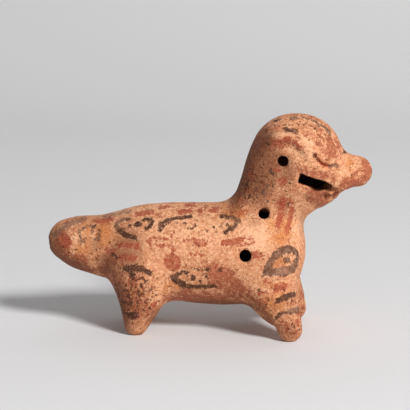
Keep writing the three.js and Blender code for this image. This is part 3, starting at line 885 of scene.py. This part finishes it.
def slip_painted_terracotta(colours, sizes):
    """Low-fired red earthenware under a buff slip, rubbed with a pebble, painted in black and red slip.

    The eye gets a matt, grainy body, a mottled peach slip that has worn through to red-brown clay in flecks
    and patches, dark mineral specks, and paint with ragged, rubbed edges. Painted shade and painted
    highlights are laid into the colour in soft areas too.
    """
    material = bpy.data.materials.new("slip painted terracotta")
    material.use_nodes = True
    tree = material.node_tree
    tree.nodes.clear()
    here = add(tree, "ShaderNodeTexCoord").outputs["Object"]
    broad = noise(tree, here, 8, 2, 0.6)
    mottle = noise(tree, here, 3.4, 5, 0.88, 0.31)
    patch = noise(tree, here, 3.0, 5, 0.85, 0.73)
    fleck = noise(tree, here, 1.5, 3, 0.85, 0.11)
    # mineral specks are drawn a little coarser than they are, so that they still show in the render
    speck = noise(tree, here, 1.25, 2, 0.55, 0.17)
    grain = noise(tree, here, 0.55, 2, 0.7, 0.57)
    worn, orange = attribute(tree, "worn"), attribute(tree, "orange")
    pale_and_highlight, grime, thin = attribute(tree, "pale_and_highlight"), attribute(tree, "grime"), attribute(tree, "thin")
    black, red = attribute(tree, "black"), attribute(tree, "red")

    tone = mixed(tree, between(tree, mottle, 0.4, 0.56), linear(colours.tan), linear(colours.slip))
    # Thick pale slip, and painted highlights on the crests and tops that the pale areas cover.
    light = maths(tree, "MULTIPLY_ADD", pale_and_highlight, 0.12, fleck)
    tone = mixed(tree, between(tree, light, 0.48, 0.63), tone, linear(colours.pale_slip_and_highlight))
    warm = maths(tree, "MULTIPLY_ADD", orange, 0.24, mottle)
    tint = maths(tree, "MULTIPLY", between(tree, warm, 0.56, 0.74), 0.8)
    tone = mixed(tree, tint, tone, linear(colours.orange))

    # Rubbed-off slip shows the clay body. Where the worn areas lie under the tail, nose and neck, this is
    # painted warm shade too.
    rub = maths(tree, "MULTIPLY_ADD", worn, 0.2, maths(tree, "MULTIPLY_ADD", broad, 0.25, patch))
    rub = maths(tree, "MULTIPLY_ADD", pale_and_highlight, -0.07, rub)
    rubbed = between(tree, rub, 0.7, 0.745)
    body = mixed(tree, between(tree, fleck, 0.4, 0.58), linear(colours.worn_dark), linear(colours.worn))
    tone = mixed(tree, maths(tree, "MULTIPLY", rubbed, 0.92), tone, body)

    edge = maths(tree, "MULTIPLY_ADD", fleck, 4.0, -2.0)
    red_here = between(tree, maths(tree, "ADD", red, edge), 0.3, -0.3)
    red_left = maths(tree, "MULTIPLY_ADD", between(tree, mottle, 0.6, 0.5), 0.4, 0.52)
    tone = mixed(tree, maths(tree, "MULTIPLY", red_here, red_left), tone, linear(colours.red_paint))

    # Painted shade, in part smoke: the slip turns towards the shade colour in the shade and smoke areas, less
    # under red paint.
    shade_and_smoke = between(tree, maths(tree, "MULTIPLY_ADD", mottle, 0.8, attribute(tree, "shade_and_smoke")), 0.4, 1.45)
    shade_and_smoke = maths(tree, "MULTIPLY", shade_and_smoke, maths(tree, "MULTIPLY_ADD", red_here, -0.5, 0.86))
    tone = mixed(tree, shade_and_smoke, tone, linear(colours.shade))

    black_here = between(tree, maths(tree, "MULTIPLY_ADD", edge, 0.8, black), 0.3, -0.3)
    black_left = maths(tree, "MULTIPLY_ADD", between(tree, patch, 0.6, 0.5), 0.24, 0.75)
    black_left = maths(tree, "MULTIPLY_ADD", thin, -0.22, black_left)
    soot = between(tree, maths(tree, "MULTIPLY_ADD", thin, 0.25, fleck), 0.55, 0.71)
    soot = mixed(tree, soot, linear(colours.black_paint), linear(colours.grey_paint))
    tone = mixed(tree, maths(tree, "MULTIPLY", black_here, black_left), tone, soot)

    pores = maths(tree, "MULTIPLY", between(tree, grain, 0.52, 0.62), 0.3)
    tone = mixed(tree, pores, tone, linear(colours.shade))
    salt = maths(tree, "MULTIPLY", between(tree, grain, 0.48, 0.38), 0.22)
    tone = mixed(tree, salt, tone, linear(colours.pale_slip_and_highlight))
    dots = between(tree, maths(tree, "MULTIPLY_ADD", grime, 0.1, speck), 0.672, 0.702)
    dots = maths(tree, "MULTIPLY", dots, 0.85)
    tone = mixed(tree, dots, tone, linear(colours.speck))
    tone = mixed(tree, attribute(tree, "inner"), tone, linear(colours.hole_clay))

    rough = maths(tree, "MULTIPLY_ADD", rubbed, -0.08, maths(tree, "MULTIPLY_ADD", patch, 0.2, 0.62))
    height = maths(tree, "MULTIPLY_ADD", fleck, 0.8, grain)
    height = maths(tree, "MULTIPLY_ADD", rubbed, -0.25, height)
    height = maths(tree, "MULTIPLY_ADD", black_here, 0.12, height)
    bump = add(tree, "ShaderNodeBump", {"Height": height, "Strength": sizes.bump, "Distance": 0.6 * MM})
    shader = add(tree, "ShaderNodeBsdfPrincipled", {
        "Base Color": tone, "Roughness": rough, "Normal": bump.outputs[0], "Specular IOR Level": 0.24,
    })
    add(tree, "ShaderNodeOutputMaterial", {"Surface": shader.outputs[0]})
    return material


PAPER_FIBRE = "#cfcdcb"


def matt_paper(colour):
    """Seamless studio paper, uncoated. The eye gets an even, matt grey-white with no shine."""
    material = bpy.data.materials.new("matt backdrop paper")
    material.use_nodes = True
    tree = material.node_tree
    tree.nodes.clear()
    here = add(tree, "ShaderNodeTexCoord").outputs["Object"]
    fibre = noise(tree, here, 1.2, 3)
    tone = mixed(tree, maths(tree, "MULTIPLY", fibre, 0.03), linear(colour), linear(PAPER_FIBRE))
    shader = add(tree, "ShaderNodeBsdfPrincipled", {"Base Color": tone, "Roughness": 0.9})
    add(tree, "ShaderNodeOutputMaterial", {"Surface": shader.outputs[0]})
    return material


# Settings


def colour_setting(name, hex_colour, description):
    return bpy.props.StringProperty(name=name, description=description, default=hex_colour)


class WhistleSizes(bpy.types.PropertyGroup):
    """Sizes of the clay figure, in millimetres"""

    cell: bpy.props.FloatProperty(
        name="Mesh spacing", description="Distance between mesh points", default=0.8, min=0.6, unit="NONE")
    rim: bpy.props.FloatProperty(
        name="Rim rounding", description="Rounding of the rims of holes", default=0.9, unit="NONE")
    brow_proud: bpy.props.FloatProperty(
        name="Brow", description="How far the brow ridge stands out", default=2.3, unit="NONE")
    unevenness: bpy.props.FloatProperty(
        name="Unevenness", description="Rise and fall that the potter's hand left", default=0.3, unit="NONE")
    far_shift: bpy.props.FloatVectorProperty(
        name="Far marks", description="How far the far side's marks are moved from a mirror image", size=2,
        default=(1.6, 0.9))
    bump: bpy.props.FloatProperty(
        name="Grain", description="Strength of the surface grain", default=0.55, subtype="FACTOR", max=1)


class WhistleColours(bpy.types.PropertyGroup):
    """Colours of the clay and its paints, as sRGB hex values"""

    slip: colour_setting("Slip", "#dd966b", "Buff slip over the clay")
    # Thick slip, painted highlights and pale grains.
    pale_slip_and_highlight: colour_setting("Pale slip", "#f1b68c", "Slip where it lies thick")
    tan: colour_setting("Tan slip", "#c27c54", "Slip where it lies thin")
    orange: colour_setting("Orange", "#cb793a", "Iron-rich orange tint")
    # Clay body where the slip is rubbed off, and the colour of the painted warm shade on undersides.
    worn: colour_setting("Worn clay", "#b5603f", "Clay body where the slip is rubbed off")
    worn_dark: colour_setting("Dark worn clay", "#93432a", "Clay body, burnished dark")
    red_paint: colour_setting("Red paint", "#a5452c", "Red slip paint")
    black_paint: colour_setting("Black paint", "#42200f", "Black slip paint")
    grey_paint: colour_setting("Grey paint", "#6e5448", "Black slip paint, rubbed thin")
    speck: colour_setting("Specks", "#50281a", "Dark mineral specks and grime")
    # Painted shade and smoke darkening, and also the colour of the pores in the grain.
    shade: colour_setting("Shade", "#743e23", "Smoke-darkened slip")
    # A darker clay colour inside the holes.
    hole_clay: colour_setting("Raw clay", "#6e3c27", "Clay inside the holes")


class WhistleStage(bpy.types.PropertyGroup):
    """The studio around the figure"""

    paper: colour_setting("Backdrop", "#e4e3e3", "Seamless paper")
    key: bpy.props.FloatProperty(
        name="Key light", description="Power of the main light in watts", default=55.0, min=0)
    fill: bpy.props.FloatProperty(
        name="Fill", description="Strength of the even light", default=0.26, min=0)


# The studio, in metres: the key light, the backdrop's edges and bend, and the colour of the even light.

KEY_PLACE = (1.16, -1.5, 1.36)
KEY_TARGET = (0, 0, 0.04)
KEY_WIDTH = 0.55
PAPER_FRONT = -2.2
PAPER_BEND = 0.62
PAPER_RADIUS = 0.5
PAPER_TOP = 2.4
PAPER_HALF = 3.0
PAPER_STEPS = 24
FILL_COLOUR = "#f2f3f5"


# Operators


class WHISTLE_OT_figure(bpy.types.Operator):
    """Build the hollow clay figure with its paint and wear"""

    bl_idname = "whistle.figure"
    bl_label = "Clay figure"

    def execute(self, context):
        sizes, colours = context.scene.whistle_sizes, context.scene.whistle_colours
        values = sampled(lambda p: clay(p, sizes), SPACE_LOW, SPACE_HIGH, sizes.cell)
        piece = mesh_object("clay_figure", *skin(values, SPACE_LOW, sizes.cell))
        paint(piece, sizes)
        piece.data.materials.append(slip_painted_terracotta(colours, sizes))
        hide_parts("whistle")
        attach(piece, "root")
        print("clay figure", len(piece.data.vertices), "points", len(piece.data.polygons) * 2, "triangles")
        return {"FINISHED"}


class WHISTLE_OT_stage(bpy.types.Operator):
    """Set the figure on seamless paper, with soft light and the camera"""

    bl_idname = "whistle.stage"
    bl_label = "Stage"

    def execute(self, context):
        settings = context.scene.whistle_stage
        paper = self.backdrop(settings)
        self.key_light(settings.key)
        world = bpy.data.worlds.new("studio")
        world.use_nodes = True
        sky = world.node_tree.nodes["Background"]
        sky.inputs["Color"].default_value = linear(FILL_COLOUR)
        sky.inputs["Strength"].default_value = settings.fill
        context.scene.world = world
        context.scene.view_settings.view_transform = "Standard"
        self.camera(context.scene)
        return {"FINISHED"}

    def backdrop(self, settings):
        """A floor that curves up into a wall behind."""
        profile = [(PAPER_FRONT, 0.0)]
        for i in range(PAPER_STEPS + 1):
            turn = math.radians(90 * i / PAPER_STEPS)
            profile.append((PAPER_BEND + PAPER_RADIUS * math.sin(turn), PAPER_RADIUS * (1 - math.cos(turn))))
        profile.append((PAPER_BEND + PAPER_RADIUS, PAPER_TOP))
        points = [(side * PAPER_HALF, y, z) for y, z in profile for side in (-1, 1)]
        faces = [(2 * i, 2 * i + 1, 2 * i + 3, 2 * i + 2) for i in range(len(profile) - 1)]
        paper = mesh_object("seamless_paper", np.array(points) / MM, np.array(faces))
        paper.data.materials.append(matt_paper(settings.paper))
        return paper

    def key_light(self, power):
        """A round soft light from the front right."""
        lamp = bpy.data.lights.new("key light", "AREA")
        lamp.energy = power
        lamp.shape = "DISK"
        lamp.size = KEY_WIDTH
        piece = bpy.data.objects.new("key light", lamp)
        piece.location = KEY_PLACE
        towards = Vector(KEY_TARGET) - Vector(KEY_PLACE)
        piece.rotation_euler = towards.to_track_quat("-Z", "Y").to_euler()
        bpy.context.scene.collection.objects.link(piece)

    def camera(self, scene):
        """The camera at the viewer's place."""
        eye, _, _, back = viewer()
        lens = bpy.data.cameras.new("camera")
        lens.lens = LENS
        lens.sensor_width = SENSOR
        lens.clip_end = 20
        piece = bpy.data.objects.new("camera", lens)
        piece.location = Vector(eye * MM)
        piece.rotation_euler = Vector(-back).to_track_quat("-Z", "Y").to_euler()
        scene.collection.objects.link(piece)
        scene.camera = piece


class WHISTLE_PT_panel(bpy.types.Panel):
    """Shows the whistle's settings and the buttons that build it"""

    bl_idname = "WHISTLE_PT_panel"
    bl_label = "Feline whistle"
    bl_space_type = "VIEW_3D"
    bl_region_type = "UI"
    bl_category = "Whistle"

    def draw(self, context):
        for group in ("whistle_sizes", "whistle_colours", "whistle_stage"):
            box = self.layout.box()
            settings = getattr(context.scene, group)
            for name in settings.bl_rna.properties.keys():
                if name not in ("rna_type", "name"):
                    box.prop(settings, name)
        for operator in OPERATORS:
            self.layout.operator(operator.bl_idname)


OPERATORS = (WHISTLE_OT_figure, WHISTLE_OT_stage)
GROUPS = {"whistle_sizes": WhistleSizes, "whistle_colours": WhistleColours, "whistle_stage": WhistleStage}


def register():
    for group in GROUPS.values():
        bpy.utils.register_class(group)
    for name, group in GROUPS.items():
        setattr(bpy.types.Scene, name, bpy.props.PointerProperty(type=group))
    for kind in (*OPERATORS, WHISTLE_PT_panel):
        bpy.utils.register_class(kind)


def unregister():
    for kind in (WHISTLE_PT_panel, *reversed(OPERATORS)):
        bpy.utils.unregister_class(kind)
    for name in GROUPS:
        delattr(bpy.types.Scene, name)
    for group in reversed(GROUPS.values()):
        bpy.utils.unregister_class(group)


def main():
    register()
    bpy.ops.whistle.figure()
    bpy.ops.whistle.stage()


if __name__ == "__main__":
    main()
